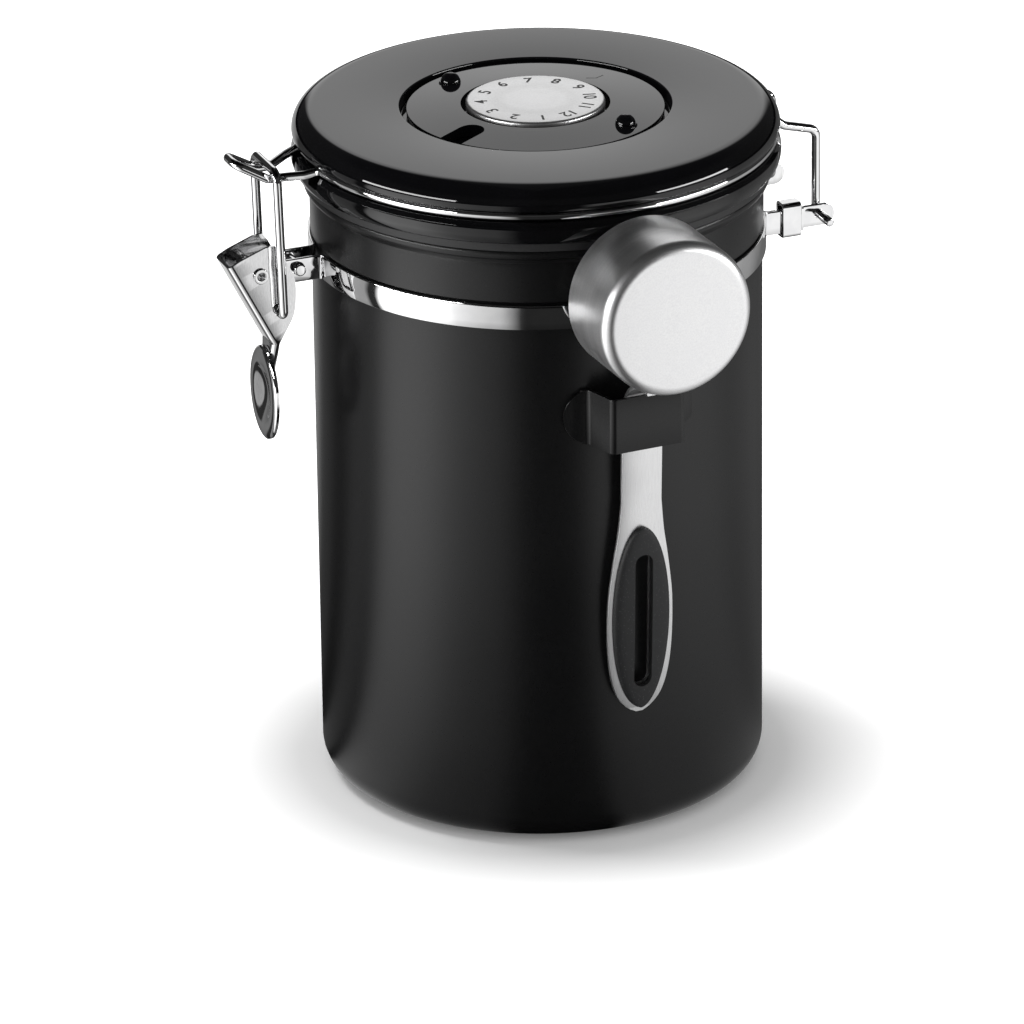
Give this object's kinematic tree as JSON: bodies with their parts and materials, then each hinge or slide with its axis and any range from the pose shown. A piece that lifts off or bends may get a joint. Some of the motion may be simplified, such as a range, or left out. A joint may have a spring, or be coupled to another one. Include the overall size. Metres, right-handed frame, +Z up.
{
  "type": "coffee canister",
  "caption": "Airtight steel coffee canister with a wire toggle latch, hinged lid with date dials and one-way valve, and a scoop in a side clip.",
  "frame": {"origin": "centre of the flat base, on the surface that the canister stands on", "axes": "+Z up along the can's axis; -Y towards the scoop and its clip; -X towards the toggle latch; +X towards the hinge"},
  "size_m": [0.1664, 0.1543, 0.1904],
  "materials": {
    "black_powder_coat": "matte black powder coat on drawn steel",
    "black_gloss": "smooth glossy black",
    "polished_steel": "polished stainless steel",
    "satin_steel": "brushed stainless steel",
    "dark_silicone": "dark grey silicone, matte",
    "white_silicone": "white silicone, satin"
  },
  "bodies": {
    "canister": {"canister_body": "black_powder_coat", "strap_front": "polished_steel", "strap_rear": "polished_steel", "latch_clamp_pin": "polished_steel", "lever_pivot_rivet": "polished_steel", "hinge_bracket": "polished_steel", "hinge_ferrule_front": "polished_steel", "hinge_ferrule_rear": "polished_steel", "scoop_clip": "black_powder_coat"},
    "lid": {"lid_cap": "black_gloss", "lid_base": "black_gloss", "lid_gasket": "dark_silicone", "lid_wire": "polished_steel", "dial_spindle": "polished_steel", "degassing_valve": "white_silicone", "valve_cover": "satin_steel"},
    "date_ring": {"date_ring": "black_gloss"},
    "month_disc": {"month_disc": "satin_steel"},
    "lever": {"latch_lever": "polished_steel"},
    "bail": {"bail_wire": "polished_steel"},
    "scoop": {"scoop_cup": "satin_steel", "scoop_handle": "satin_steel", "scoop_grip": "dark_silicone"}
  },
  "joints": [
    {"name": "lid_hinge", "type": "hinge", "parent": "canister", "child": "lid", "pos_m": [0.0745, 0, 0.1512], "axis": [0, 1, 0], "range_deg": [0, 200]},
    {"name": "date_ring_spin", "type": "hinge", "parent": "lid", "child": "date_ring", "pos_m": [0, 0, 0.186], "axis": [0, 0, 1], "continuous": true},
    {"name": "month_disc_spin", "type": "hinge", "parent": "lid", "child": "month_disc", "pos_m": [0, 0, 0.186], "axis": [0, 0, 1], "continuous": true},
    {"name": "latch_lever", "type": "hinge", "parent": "canister", "child": "lever", "pos_m": [-0.0785, 0.0045, 0.1513], "axis": [0, 1, 0], "range_deg": [0, 130]},
    {"name": "bail_pivot", "type": "hinge", "parent": "lever", "child": "bail", "pos_m": [-0.0735, 0.0045, 0.1405], "axis": [0, 1, 0], "range_deg": [-130, 0], "deforming": ["bail_wire"]},
    {"name": "scoop_lift", "type": "slide", "parent": "canister", "child": "scoop", "axis": [0.0017, -0.0384, 0.9993], "range_m": [0, 0.095]}
  ],
  "couplings": [
    {"joint": "bail_pivot", "follows": "latch_lever", "ratio": -1}
  ]
}
